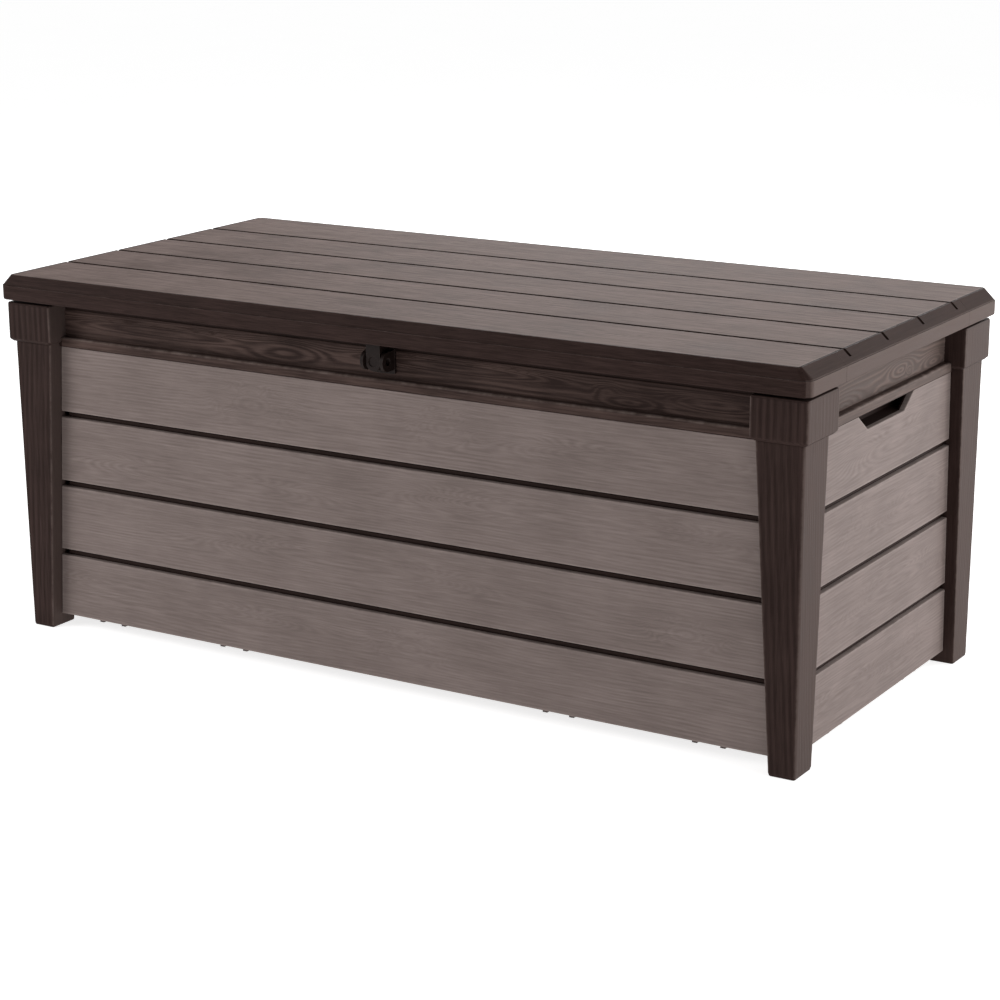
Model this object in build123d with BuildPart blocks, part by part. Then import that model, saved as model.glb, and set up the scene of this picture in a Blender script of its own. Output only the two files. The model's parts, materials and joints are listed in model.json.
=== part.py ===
from build123d import *
from math import hypot
import os

# Deck storage box: four clad walls between four corner legs, a loose floor panel and a
# rear-hinged lid held open by two gas struts. The origin is the centre of the footprint on the
# ground, +X runs along the box, -Y is its front and +Z is up. Sizes are in millimetres.

# Overall size, set by the lid
length = 1450.0
depth = 697.0
height = 603.0

# Walls: each is a ribbed moulding with its skin on the outside
wall_x = 682.5
wall_y = 296.0
wall_thick = 21.5
skin = 2.6
rib = 3.0
wall_bottom = 21.0
wall_top = 556.0
wall_rim = 6.0
wall_bays = {"front": 10, "back": 10, "left": 4, "right": 4}
ledge_width = 12.5
ledge_thick = 4.0
joint_gap = 0.3

# Cladding planks from the top course to the bottom one, as (low, high) heights
plank_heights = [(375.0, 485.0), (256.5, 365.0), (136.5, 246.0), (21.0, 126.0)]
plank_proud = 8.5
plank_skin = 2.2
plank_edge = 1.8
gap_rib_height = 4.0
gap_rib_proud = 2.0
gap_dark_end = 12.0
vent_length = 10.0
vent_height = 7.0

# Bead and frieze that run above the top course
bead_low = 485.0
bead_high = 501.0
bead_proud = 13.5
bead_round = 3.0
frieze_high = 534.0
frieze_proud = 1.5

# Legs: (x, y) of the outer corner and of the inner edges, at the ground and at the shaft's top
shaft_top = 491.5
leg_outer_low = (708.5, 326.0)
leg_outer_high = (711.0, 330.0)
leg_inner_low = (666.0, 270.0)
leg_inner_high = (636.0, 250.0)
leg_round = 4.5
leg_wall = 3.0
foot_round = 3.0
leg_bays = [(25.0, 135.0), (139.0, 250.0), (254.0, 365.0), (369.0, 487.0)]
collar_outer = (718.5, 337.5)
collar_inner = (630.0, 235.0)
collar_top = 556.5
collar_chamfer = 4.0
collar_edge = 2.0
bead_socket = 5.0
boss_inset = 9.5
boss_r = 5.5
boss_heights = [80.0, 195.0, 310.0, 425.0]

# Handle recess in each end wall
grip_top_width = 212.0
grip_bottom_width = 134.0
grip_low = 458.5
cup_half = 109.0
cup_low = 456.0
cup_high = 502.5
cup_depth = 24.0
cup_wall = 2.5

# Floor panel with the snap tabs that hook under the walls
floor_x = 660.5
floor_y = 274.0
floor_low = 25.0
floor_top = 40.0
floor_plate = 2.5
floor_rib = 2.5
floor_grid = (12, 5)
tab_width = 8.0
tab_low = 17.0
tab_stem = 7.0
tab_reach = 3.5
tab_pair = 46.0
long_tab_centres = (-558.0, -305.0, 305.0, 558.0)
end_tab_centres = (-140.0, 140.0)

# Lid: lip, shadow step, bevel, board deck and liner
lip_bottom = 562.0
lip_top = 585.5
bevel_bottom = 587.0
lip_step = 1.5
bevel_x = 18.5
bevel_y = 6.5
lid_wall = 3.0
corner_cut = 10.0
corner_round = 10.0
top_corner_cut = 5.0
top_corner_round = 3.0
lip_round = 2.8
deck_top = 592.5
deck_thick = 2.6
rim_seam = 228.0
seam_gap = 0.6
board_x = 704.0
board_y = 340.0
board_pitch = 132.0
board_gap = 6.5
board_skin = 2.2
board_edge = 1.8
groove_slot_width = 7.5
groove_slot_start = 699.0
groove_slot_end = 717.0
liner_x = 690.0
liner_y = 305.0
liner_bottom = 557.3
liner_wall = 2.2
liner_grid = (8, 4)

# Hinge: four knuckles on the back wall, each between two ears on the lid
hinge_y = 338.0
hinge_z = 568.0
hinge_stations = (-500.0, -170.0, 170.0, 500.0)
knuckle_r = 6.5
knuckle_half = 15.0
arm_low = 538.0
arm_top = 555.5
arm_knee = 308.0
arm_upper_tangent = (-4.0, 5.1)
arm_lower_tangent = (3.5, -5.4)
ear_r = 7.2
ear_start = 15.5
ear_thick = 9.0
ear_back = 345.2
ear_shoulder = 582.0
ear_top = (341.8, 591.5)
pin_r = 4.0
pin_length = 52.0
knuckle_clearance = 0.08
ear_clearance = 0.02
lip_notch_half = 17.0
lip_notch_top = 576.5

# Lock: a padlock pin passes through two ears on the wall and the lid's tongue between them
lock_y = 320.0
lock_z = 532.0
lock_hole_r = 6.0
lock_base = (-21.0, 510.0, 21.0, 552.0)
lock_base_thick = 5.0
lock_ear_start = 15.5
lock_ear_thick = 5.0
lock_ear_r = 15.0
tongue_half = 12.5
tongue_thick = 20.0
tongue_hole_r = 6.5
tongue_recess_r = 8.5
tongue_recess = 1.5

# Gas struts: pivots as (y, z), the upper one on the lid and the lower one on the end wall
strut_x = 645.0
strut_upper = (256.0, 532.0)
strut_lower = (160.0, 240.0)
eye_r = 9.0
eye_half = 6.0
stud_r = 5.0
stud_clearance = 0.06
neck_r = 5.0
tube_r = 9.0
tube_bore_r = 7.5
tube_start = 22.0
tube_end = 285.0
tube_cap = 5.0
gland_length = 6.0
rod_r = 4.0
rod_clearance = 0.08
piston_start = 150.0
piston_length = 8.0
piston_r = 7.42
bracket_thick = 3.0
lid_bracket_x = 658.0
lid_bracket_half = 17.0
lid_bracket_drop = 34.5
lid_bracket_reach = 38.0
stud_head_r = 7.5
stud_head = 3.0
stud_head_gap = 1.0
wall_bracket_half = (18.0, 30.0)
wall_boss_r = 9.0
pad_half = (26.0, 36.0)

# Screws: one pattern throughout
screw_r = 2.0
screw_hole_r = 2.1
screw_head_r = 4.2
screw_head = 2.4
screw_length = 14.0
wall_bracket_screw = 20.0
lid_bracket_screw = (26.0, 12.0)
lock_screw_heights = (519.0, 545.0)

# Each side's plane has +X across the wall seen from outside, +Y up and +Z outward
side_planes = {
    "front": Plane(origin=(0, 0, 0), x_dir=(1, 0, 0), z_dir=(0, -1, 0)),
    "back": Plane(origin=(0, 0, 0), x_dir=(-1, 0, 0), z_dir=(0, 1, 0)),
    "left": Plane(origin=(0, 0, 0), x_dir=(0, -1, 0), z_dir=(-1, 0, 0)),
    "right": Plane(origin=(0, 0, 0), x_dir=(0, 1, 0), z_dir=(1, 0, 0)),
}
long_sides = ("front", "back")
end_signs = {"left": -1, "right": 1}
strut_length = hypot(strut_upper[0] - strut_lower[0], strut_upper[1] - strut_lower[1])

os.makedirs("parts", exist_ok=True)


def save(piece, name):
    """Label a finished piece and write its STEP file."""
    piece.part.label = name
    export_step(piece.part, f"parts/{name}.step")


def block(low, high, mode=Mode.ADD):
    """A box between two corners, in the coordinates of the part being built."""
    centre = [(a + b) / 2 for a, b in zip(low, high)]
    with Locations(tuple(centre)):
        Box(*[b - a for a, b in zip(low, high)], mode=mode)


def corner_cut_out(signs, reach, low, high):
    """Cut away the box from the object's centre line to one plan corner, between two heights."""
    centre = [sign * size / 2 for sign, size in zip(signs, reach)]
    with Locations((centre[0], centre[1], (low + high) / 2)):
        Box(reach[0], reach[1], high - low, mode=Mode.SUBTRACT)


def face_distance(side):
    """Distance from the origin to the outer face of a side's skin."""
    return wall_y if side in long_sides else wall_x


def leg_edge(side, z):
    """Half the clear width between the legs on a side at height z, before the joint gap."""
    axis = 0 if side in long_sides else 1
    share = z / shaft_top
    return leg_inner_low[axis] + (leg_inner_high[axis] - leg_inner_low[axis]) * share


def wall_half(side):
    """Half a wall's width: the end walls fit between the front and back ones."""
    return wall_x if side in long_sides else wall_y - wall_thick


def plank_points(side, low, high, inset):
    """Corners of a course whose ends follow the legs' taper, drawn in from its edges."""
    low_half = leg_edge(side, low) - joint_gap - inset
    high_half = leg_edge(side, high) - joint_gap - inset
    return [
        (-low_half, low + inset),
        (low_half, low + inset),
        (high_half, high - inset),
        (-high_half, high - inset),
    ]


def grip_points(grow):
    """Corners of the handle recess's outline, grown outward by a margin."""
    return [
        (-grip_bottom_width / 2 - grow, grip_low - grow),
        (grip_bottom_width / 2 + grow, grip_low - grow),
        (grip_top_width / 2 + grow, bead_low + 1),
        (-grip_top_width / 2 - grow, bead_low + 1),
    ]


def bracket_screw_spots():
    """Screw positions on the end walls' strut brackets, as (side, height)."""
    heights = (strut_lower[1] - wall_bracket_screw, strut_lower[1] + wall_bracket_screw)
    return [(side, z) for side in end_signs for z in heights]


# Walls


def make_wall(side):
    """A wall moulding: ribbed plate, bead, frieze, gap ribs, vents and floor ledge."""
    plane = side_planes[side]
    face = face_distance(side)
    half = wall_half(side)
    inner = face - wall_thick
    pitch = (2 * half - 2 * wall_rim + rib) / wall_bays[side]
    bead_axis = 0 if side in long_sides else 1
    trim_half = collar_inner[bead_axis] + bead_socket
    frieze_half = collar_inner[bead_axis] - joint_gap
    ledge_half = wall_x - wall_thick if side in long_sides else wall_y - wall_thick - ledge_width
    with BuildPart(plane) as wall:
        block((-trim_half, bead_low, face - 1), (trim_half, bead_high, face + bead_proud))
        fillet(wall.edges().filter_by(Axis((0, 0, 0), plane.x_dir)).group_by(
            Axis((0, 0, 0), plane.z_dir))[-1], bead_round)
        block((-half, wall_bottom, inner), (half, wall_top, face))
        with BuildSketch(plane.offset(inner)):
            with Locations((0, (wall_bottom + wall_top) / 2)):
                with GridLocations(pitch, 0, wall_bays[side], 1):
                    Rectangle(pitch - rib, wall_top - wall_bottom - 2 * wall_rim)
        extrude(amount=wall_thick - skin, mode=Mode.SUBTRACT)
        block((-frieze_half, bead_high - 1, face - 1),
              (frieze_half, frieze_high, face + frieze_proud))
        block((-ledge_half, wall_bottom, inner - ledge_width),
              (ledge_half, wall_bottom + ledge_thick, inner + 1))
        for (low, _), (_, high) in zip(plank_heights[:-1], plank_heights[1:]):
            middle = (low + high) / 2
            end = leg_edge(side, middle) - gap_dark_end
            block((-end, middle - gap_rib_height / 2, face - 1),
                  (end, middle + gap_rib_height / 2, face + gap_rib_proud))
            for sign in (-1, 1):
                centre = sign * (end + vent_length / 2 + 1)
                block((centre - vent_length / 2, middle - vent_height / 2, inner - 1),
                      (centre + vent_length / 2, middle + vent_height / 2, face + 1),
                      mode=Mode.SUBTRACT)
        if side in long_sides:
            for z in boss_heights:
                spot = leg_edge(side, z) + boss_inset
                with BuildSketch(plane.offset(inner)):
                    with Locations((-spot, z), (spot, z)):
                        Circle(screw_hole_r)
                extrude(amount=wall_thick + 1, mode=Mode.SUBTRACT)
        if side == "front":
            with BuildSketch(plane.offset(inner)):
                with Locations(*[(0, z) for z in lock_screw_heights]):
                    Circle(screw_hole_r)
            extrude(amount=wall_thick + 5, mode=Mode.SUBTRACT)
        if side == "back":
            for x in hinge_stations:
                with BuildSketch(Plane.YZ.offset(x - knuckle_half)):
                    Polygon(
                        (wall_y - 1, arm_low),
                        (arm_knee, arm_low + 2),
                        (hinge_y + arm_lower_tangent[0], hinge_z + arm_lower_tangent[1]),
                        (hinge_y + arm_upper_tangent[0], hinge_z + arm_upper_tangent[1]),
                        (arm_knee, arm_top),
                        (wall_y - 1, arm_top),
                        align=None,
                    )
                    with Locations((hinge_y, hinge_z)):
                        Circle(knuckle_r)
                        Circle(pin_r + knuckle_clearance, mode=Mode.SUBTRACT)
                extrude(amount=2 * knuckle_half)
        if side in end_signs:
            across = end_signs[side] * strut_lower[0]
            block((across - pad_half[0], strut_lower[1] - pad_half[1], inner),
                  (across + pad_half[0], strut_lower[1] + pad_half[1], face))
            with BuildSketch(plane.offset(inner)):
                with Locations((across, strut_lower[1] - wall_bracket_screw),
                               (across, strut_lower[1] + wall_bracket_screw)):
                    Circle(screw_hole_r)
            extrude(amount=screw_length, mode=Mode.SUBTRACT)
            block((-cup_half - joint_gap, cup_low - joint_gap, inner - 1),
                  (cup_half + joint_gap, cup_high + joint_gap, face - skin), mode=Mode.SUBTRACT)
            with BuildSketch(plane.offset(face - skin - 1)):
                Polygon(*grip_points(0), align=None)
                with Locations((0, bead_low + 5)):
                    Rectangle(2 * grip_top_width, 10, mode=Mode.SUBTRACT)
            extrude(amount=skin + plank_proud, mode=Mode.SUBTRACT)
    return wall


for side in side_planes:
    save(make_wall(side), f"{side}_wall")


# Cladding planks: hollow-backed trays


def make_plank(side, low, high, notched):
    """One course of cladding, with the handle recess cut from its top edge if notched."""
    plane = side_planes[side]
    face = face_distance(side)
    with BuildPart(plane) as plank:
        with BuildSketch(plane.offset(face)):
            Polygon(*plank_points(side, low, high, 0), align=None)
            if notched:
                Polygon(*grip_points(0), align=None, mode=Mode.SUBTRACT)
        extrude(amount=plank_proud)
        fillet(plank.faces().sort_by(Axis((0, 0, 0), plane.z_dir))[-1].edges(), plank_edge)
        with BuildSketch(plane.offset(face)):
            Polygon(*plank_points(side, low, high, plank_skin), align=None)
            if notched:
                Polygon(*grip_points(plank_skin), align=None, mode=Mode.SUBTRACT)
        extrude(amount=plank_proud - plank_skin, mode=Mode.SUBTRACT)
    return plank


for side in side_planes:
    for number, (low, high) in enumerate(plank_heights, 1):
        notched = side in end_signs and number == 1
        save(make_plank(side, low, high, notched), f"{side}_plank_{number}")


# Legs


def make_leg(x_sign, y_sign):
    """A hollow tapered corner post with its foot below and its collar on top."""
    corner = (wall_x, wall_y)
    signs = (x_sign, y_sign)
    with BuildPart() as leg:
        for z, inner, outer in ((0, leg_inner_low, leg_outer_low),
                                (shaft_top + 1, leg_inner_high, leg_outer_high)):
            centre = [s * (a + b) / 2 for s, a, b in zip(signs, inner, outer)]
            with BuildSketch(Plane.XY.offset(z)):
                with Locations(tuple(centre)):
                    RectangleRounded(outer[0] - inner[0], outer[1] - inner[1], leg_round)
        loft()
        fillet(leg.faces().sort_by(Axis.Z)[0].edges(), foot_round)
        collar_centre = [s * (a + b) / 2 for s, a, b in zip(signs, collar_inner, collar_outer)]
        with BuildSketch(Plane.XY.offset(shaft_top + collar_chamfer)):
            with Locations(tuple(collar_centre)):
                RectangleRounded(collar_outer[0] - collar_inner[0],
                                 collar_outer[1] - collar_inner[1], leg_round)
        extrude(amount=collar_top - shaft_top - collar_chamfer)
        fillet(leg.faces().sort_by(Axis.Z)[-1].edges(), collar_edge)
        with BuildSketch(Plane.XY.offset(shaft_top)):
            with Locations(tuple(collar_centre)):
                RectangleRounded(collar_outer[0] - collar_inner[0] - 2 * collar_chamfer,
                                 collar_outer[1] - collar_inner[1] - 2 * collar_chamfer, leg_round)
        with BuildSketch(Plane.XY.offset(shaft_top + collar_chamfer)):
            with Locations(tuple(collar_centre)):
                RectangleRounded(collar_outer[0] - collar_inner[0],
                                 collar_outer[1] - collar_inner[1], leg_round)
        loft()
        for low, high in leg_bays:
            for z in (low, high):
                share = z / shaft_top
                inner = [a + (b - a) * share + leg_wall
                         for a, b in zip(leg_inner_low, leg_inner_high)]
                outer = [a + (b - a) * share - leg_wall
                         for a, b in zip(leg_outer_low, leg_outer_high)]
                centre = [s * (a + b) / 2 for s, a, b in zip(signs, inner, outer)]
                with BuildSketch(Plane.XY.offset(z)):
                    with Locations(tuple(centre)):
                        Rectangle(outer[0] - inner[0], outer[1] - inner[1])
            loft(mode=Mode.SUBTRACT)
        void_centre = [c + s * bead_socket / 2 for s, c in zip(signs, collar_centre)]
        with BuildSketch(Plane.XY.offset(shaft_top + collar_chamfer)):
            with Locations(tuple(void_centre)):
                Rectangle(collar_outer[0] - collar_inner[0] - 2 * leg_wall - bead_socket,
                          collar_outer[1] - collar_inner[1] - 2 * leg_wall - bead_socket)
        extrude(amount=collar_top - shaft_top - collar_chamfer - leg_wall, mode=Mode.SUBTRACT)
        for z in boss_heights:
            front_face = leg_outer_low[1] + (leg_outer_high[1] - leg_outer_low[1]) * z / shaft_top
            with BuildSketch(side_planes["front"].offset(-y_sign * wall_y)):
                with Locations((x_sign * (leg_edge("front", z) + boss_inset), z)):
                    Circle(boss_r)
            extrude(amount=-y_sign * (front_face - wall_y - 1))
            with BuildSketch(side_planes["front"].offset(-y_sign * wall_y)):
                with Locations((x_sign * (leg_edge("front", z) + boss_inset), z)):
                    Circle(screw_hole_r)
            extrude(amount=-y_sign * screw_length, mode=Mode.SUBTRACT)
        corner_cut_out(signs, corner, wall_bottom, height)
        for axis in (0, 1):
            reach = [c + bead_proud + joint_gap for c in corner]
            reach[axis] = collar_inner[axis] + bead_socket + joint_gap
            corner_cut_out(signs, reach, bead_low - joint_gap, bead_high + joint_gap)
    return leg


for end, x_sign in end_signs.items():
    save(make_leg(x_sign, -1), f"front_{end}_leg")
    save(make_leg(x_sign, 1), f"rear_{end}_leg")


# Handle cups


def make_cup(side):
    """A finger cup behind an end wall's handle recess."""
    plane = side_planes[side]
    front = face_distance(side) - skin
    with BuildPart(plane) as cup:
        block((-cup_half, cup_low, front - cup_depth), (cup_half, cup_high, front))
        block((-cup_half + cup_wall, cup_low + cup_wall, front - cup_depth + cup_wall),
              (cup_half - cup_wall, cup_high - cup_wall, front + 1), mode=Mode.SUBTRACT)
    return cup


for side in end_signs:
    save(make_cup(side), f"{side}_handle_cup")


# Floor panel

with BuildPart() as floor_panel:
    block((-floor_x, -floor_y, floor_low), (floor_x, floor_y, floor_top))
    pitch_x = (2 * floor_x - floor_rib) / floor_grid[0]
    pitch_y = (2 * floor_y - floor_rib) / floor_grid[1]
    with BuildSketch(Plane.XY.offset(floor_low)):
        with GridLocations(pitch_x, pitch_y, *floor_grid):
            Rectangle(pitch_x - floor_rib, pitch_y - floor_rib)
    extrude(amount=floor_top - floor_low - floor_plate, mode=Mode.SUBTRACT)
    for sides, centres in ((long_sides, long_tab_centres), (end_signs, end_tab_centres)):
        for side in sides:
            plane = side_planes[side]
            hook_end = face_distance(side) + tab_reach
            stem_end = face_distance(side) - wall_thick - ledge_width - joint_gap
            for centre in centres:
                for offset in (-tab_pair / 2, tab_pair / 2):
                    across = centre + offset
                    with BuildSketch(plane.offset(stem_end - tab_stem)):
                        with Locations((across, (tab_low + floor_top) / 2)):
                            Rectangle(tab_width, floor_top - tab_low)
                    extrude(amount=tab_stem)
                    with BuildSketch(plane.offset(stem_end - tab_stem)):
                        with Locations((across, (tab_low + wall_bottom - joint_gap) / 2)):
                            Rectangle(tab_width, wall_bottom - joint_gap - tab_low)
                    extrude(amount=hook_end - stem_end + tab_stem)
save(floor_panel, "floor_panel")


# Lid rim: one ring profile, shared by the lid shell and the two rim caps


def outline_size(inset_x, inset_y):
    """Length and depth of the lid's outline drawn in by two insets."""
    return length - 2 * inset_x, depth - 2 * inset_y


with BuildPart() as rim_ring:
    ring_sections = [
        ((lip_bottom, 0, 0, corner_cut, corner_round),
         (lip_top, 0, 0, corner_cut, corner_round)),
        ((lip_top, lip_step, lip_step, corner_cut, corner_round),
         (bevel_bottom, lip_step, lip_step, corner_cut, corner_round)),
        ((bevel_bottom, lip_step, lip_step, corner_cut, corner_round),
         (height, bevel_x, bevel_y, top_corner_cut, top_corner_round)),
    ]
    for section in ring_sections:
        for z, inset_x, inset_y, cut, rounding in section:
            with BuildSketch(Plane.XY.offset(z)) as outline:
                Rectangle(*outline_size(inset_x, inset_y))
                chamfer(outline.vertices(), cut)
                fillet(outline.vertices(), rounding)
        loft()
    fillet(rim_ring.faces().sort_by(Axis.Z)[0].edges(), lip_round)
    rise = (deck_top - bevel_bottom) / (height - bevel_bottom)
    deck_inset_x = lip_step + (bevel_x - lip_step) * rise + lid_wall
    deck_inset_y = lip_step + (bevel_y - lip_step) * rise + lid_wall
    hollow_sections = [
        ((lip_bottom - 1, lid_wall, lid_wall), (lip_top - lid_wall, lid_wall, lid_wall)),
        ((lip_top - lid_wall, lid_wall, lid_wall), (deck_top, deck_inset_x, deck_inset_y)),
    ]
    for section in hollow_sections:
        for z, inset_x, inset_y in section:
            with BuildSketch(Plane.XY.offset(z)) as outline:
                Rectangle(*outline_size(inset_x, inset_y))
                chamfer(outline.vertices(), corner_cut)
        loft(mode=Mode.SUBTRACT)
    block((-board_x - joint_gap, -board_y - joint_gap, deck_top - 1),
          (board_x + joint_gap, board_y + joint_gap, height + 1), mode=Mode.SUBTRACT)

with BuildPart() as lid_shell:
    add(rim_ring.part)
    seam_y = rim_seam - seam_gap / 2
    block((-length, -seam_y, 0), (length, seam_y, 2 * height), mode=Mode.INTERSECT)
    with BuildSketch(Plane.XY.offset(deck_top - deck_thick)) as deck:
        Rectangle(*outline_size(deck_inset_x + joint_gap, deck_inset_y + joint_gap))
        chamfer(deck.vertices(), corner_cut)
        Rectangle(length - 2 * deck_inset_x + lid_wall, 2 * seam_y)
    extrude(amount=deck_thick)
    for groove in (-1.5, -0.5, 0.5, 1.5):
        groove_y = groove * board_pitch
        for ends in ((groove_slot_start, groove_slot_end), (-groove_slot_end, -groove_slot_start)):
            block((ends[0], groove_y - groove_slot_width / 2, deck_top),
                  (ends[1], groove_y + groove_slot_width / 2, height + 1), mode=Mode.SUBTRACT)
    for x in hinge_stations:
        for start in (x + ear_start, x - ear_start - ear_thick):
            with BuildSketch(Plane.YZ.offset(start)):
                with Locations((hinge_y, hinge_z)):
                    Circle(ear_r)
                Polygon(
                    (2 * hinge_y - ear_back, hinge_z),
                    (ear_back, hinge_z),
                    (ear_back, ear_shoulder),
                    ear_top,
                    (2 * hinge_y - ear_back, ear_top[1]),
                    align=None,
                )
                with Locations((hinge_y, hinge_z)):
                    Circle(pin_r + ear_clearance, mode=Mode.SUBTRACT)
            extrude(amount=ear_thick)
save(lid_shell, "lid_shell")

with BuildPart() as lid_front_rim:
    add(rim_ring.part)
    block((-length, -depth, 0), (length, -rim_seam - seam_gap / 2, 2 * height),
          mode=Mode.INTERSECT)
save(lid_front_rim, "lid_front_rim")

with BuildPart() as lid_rear_rim:
    add(rim_ring.part)
    block((-length, rim_seam + seam_gap / 2, 0), (length, depth, 2 * height), mode=Mode.INTERSECT)
    for x in hinge_stations:
        block((x - lip_notch_half, depth / 2 - lid_wall - 1, lip_bottom - 1),
              (x + lip_notch_half, depth / 2 + 1, lip_notch_top), mode=Mode.SUBTRACT)
save(lid_rear_rim, "lid_rear_rim")


# Lid boards: hollow-backed trays across the deck


def make_board(front_y, rear_y):
    """One lid board between two edges."""
    with BuildPart() as board:
        block((-board_x, front_y, deck_top), (board_x, rear_y, height))
        fillet(board.faces().sort_by(Axis.Z)[-1].edges(), board_edge)
        block((-board_x + board_skin, front_y + board_skin, deck_top - 1),
              (board_x - board_skin, rear_y - board_skin, height - board_skin),
              mode=Mode.SUBTRACT)
    return board


grooves = [step * board_pitch for step in (-1.5, -0.5, 0.5, 1.5)]
board_fronts = [-board_y] + [y + board_gap / 2 for y in grooves]
board_rears = [y - board_gap / 2 for y in grooves] + [board_y]
for number, (front_y, rear_y) in enumerate(zip(board_fronts, board_rears), 1):
    save(make_board(front_y, rear_y), f"lid_board_{number}")


# Lid liner: a ribbed tray that closes the lid's underside

with BuildPart() as lid_liner:
    block((-liner_x, -liner_y, liner_bottom), (liner_x, liner_y, deck_top - deck_thick))
    pitch_x = (2 * liner_x - liner_wall) / liner_grid[0]
    pitch_y = (2 * liner_y - liner_wall) / liner_grid[1]
    with BuildSketch(Plane.XY.offset(liner_bottom + liner_wall)):
        with GridLocations(pitch_x, pitch_y, *liner_grid):
            Rectangle(pitch_x - liner_wall, pitch_y - liner_wall)
    extrude(amount=deck_top, mode=Mode.SUBTRACT)
    with BuildSketch(Plane.XY.offset(liner_bottom - 1)):
        for sign in (-1, 1):
            for offset in (-lid_bracket_screw[1], lid_bracket_screw[1]):
                with Locations((sign * (lid_bracket_x - lid_bracket_screw[0]),
                                strut_upper[0] + offset)):
                    Circle(screw_hole_r)
    extrude(amount=liner_wall + 2, mode=Mode.SUBTRACT)
save(lid_liner, "lid_liner")


# Hinge pins, one to each knuckle

with BuildPart() as hinge_pins:
    for x in hinge_stations:
        with BuildSketch(Plane.YZ.offset(x - pin_length / 2)):
            with Locations((hinge_y, hinge_z)):
                Circle(pin_r)
        extrude(amount=pin_length)
    chamfer(hinge_pins.edges().filter_by(GeomType.CIRCLE), 0.8)
save(hinge_pins, "hinge_pins")


# Lock bracket on the front wall and tongue under the lid

with BuildPart(side_planes["front"]) as lock_bracket:
    base_face = wall_y + frieze_proud
    block((lock_base[0], lock_base[1], base_face),
          (lock_base[2], lock_base[3], base_face + lock_base_thick))
    fillet(lock_bracket.edges().filter_by(Axis.Y), lock_base_thick / 2)
    for start in (lock_ear_start, -lock_ear_start - lock_ear_thick):
        with BuildSketch(Plane.YZ.offset(start)):
            with Locations((-lock_y, lock_z)):
                Circle(lock_ear_r)
            with Locations((-(lock_y + base_face) / 2, lock_z)):
                Rectangle(lock_y - base_face, 2 * lock_ear_r)
            with Locations((-lock_y, lock_z)):
                Circle(lock_hole_r, mode=Mode.SUBTRACT)
        extrude(amount=lock_ear_thick)
    with BuildSketch(side_planes["front"].offset(base_face - 1)):
        with Locations(*[(0, z) for z in lock_screw_heights]):
            Circle(screw_hole_r)
    extrude(amount=lock_base_thick + 2, mode=Mode.SUBTRACT)
save(lock_bracket, "lock_bracket")

with BuildPart(side_planes["front"]) as lock_tongue:
    tongue_back = lock_y - tongue_thick / 2
    with BuildSketch(side_planes["front"].offset(tongue_back)):
        with Locations((0, lock_z - 2)):
            Circle(tongue_half)
        with Locations((0, (lock_z - 2 + deck_top - deck_thick) / 2)):
            Rectangle(2 * tongue_half, deck_top - deck_thick - lock_z + 2)
    extrude(amount=tongue_thick)
    with BuildSketch(side_planes["front"].offset(tongue_back + tongue_thick - tongue_recess)):
        with Locations((0, lock_z)):
            Circle(tongue_recess_r)
    extrude(amount=tongue_recess + 1, mode=Mode.SUBTRACT)
    with BuildSketch(Plane.YZ.offset(-tongue_half - 1)):
        with Locations((-lock_y, lock_z)):
            Circle(tongue_hole_r)
    extrude(amount=2 * tongue_half + 2, mode=Mode.SUBTRACT)
save(lock_tongue, "lock_tongue")


# Gas struts: cylinder on the lid's bracket, rod towards the end wall's bracket


def strut_plane(x_sign):
    """A plane at the upper pivot whose +Z points along the strut to the lower pivot."""
    along = (0, strut_lower[0] - strut_upper[0], strut_lower[1] - strut_upper[1])
    return Plane(origin=(x_sign * strut_x, *strut_upper), x_dir=(1, 0, 0), z_dir=along)


def make_cylinder(x_sign):
    """Pressure tube with its end gland, neck and pivot eye."""
    plane = strut_plane(x_sign)
    eye_plane = Plane.YZ.offset(x_sign * strut_x - eye_half)
    with BuildPart() as cylinder:
        with BuildSketch(plane.offset(tube_start)):
            Circle(tube_r)
        extrude(amount=tube_end - tube_start)
        fillet(cylinder.edges().filter_by(GeomType.CIRCLE), 1.5)
        with BuildSketch(plane.offset(tube_start + tube_cap)):
            Circle(tube_bore_r)
        extrude(amount=tube_end - tube_start - tube_cap - gland_length, mode=Mode.SUBTRACT)
        with BuildSketch(plane.offset(tube_end - gland_length - 1)):
            Circle(rod_r + rod_clearance)
        extrude(amount=gland_length + 2, mode=Mode.SUBTRACT)
        with BuildSketch(plane):
            Circle(neck_r)
        extrude(amount=tube_start + 1)
        with BuildSketch(eye_plane):
            with Locations(strut_upper):
                Circle(eye_r)
        extrude(amount=2 * eye_half)
        with BuildSketch(eye_plane.offset(-1)):
            with Locations(strut_upper):
                Circle(stud_r + stud_clearance)
        extrude(amount=2 * eye_half + 2, mode=Mode.SUBTRACT)
    return cylinder


def make_rod(x_sign):
    """Piston, rod, pivot eye and the stud that bears on the end wall's bracket."""
    plane = strut_plane(x_sign)
    stud_start = strut_x - eye_half
    stud_end = wall_x - wall_thick - 2 * bracket_thick - joint_gap
    with BuildPart() as rod:
        with BuildSketch(plane.offset(piston_start)):
            Circle(piston_r)
        extrude(amount=piston_length)
        with BuildSketch(plane.offset(piston_start)):
            Circle(rod_r)
        extrude(amount=strut_length - piston_start)
        with BuildSketch(Plane.YZ.offset(x_sign * strut_x - eye_half)):
            with Locations(strut_lower):
                Circle(eye_r)
        extrude(amount=2 * eye_half)
        with BuildSketch(Plane.YZ.offset(x_sign * stud_start)):
            with Locations(strut_lower):
                Circle(stud_r)
        extrude(amount=x_sign * (stud_end - stud_start))
    return rod


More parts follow.
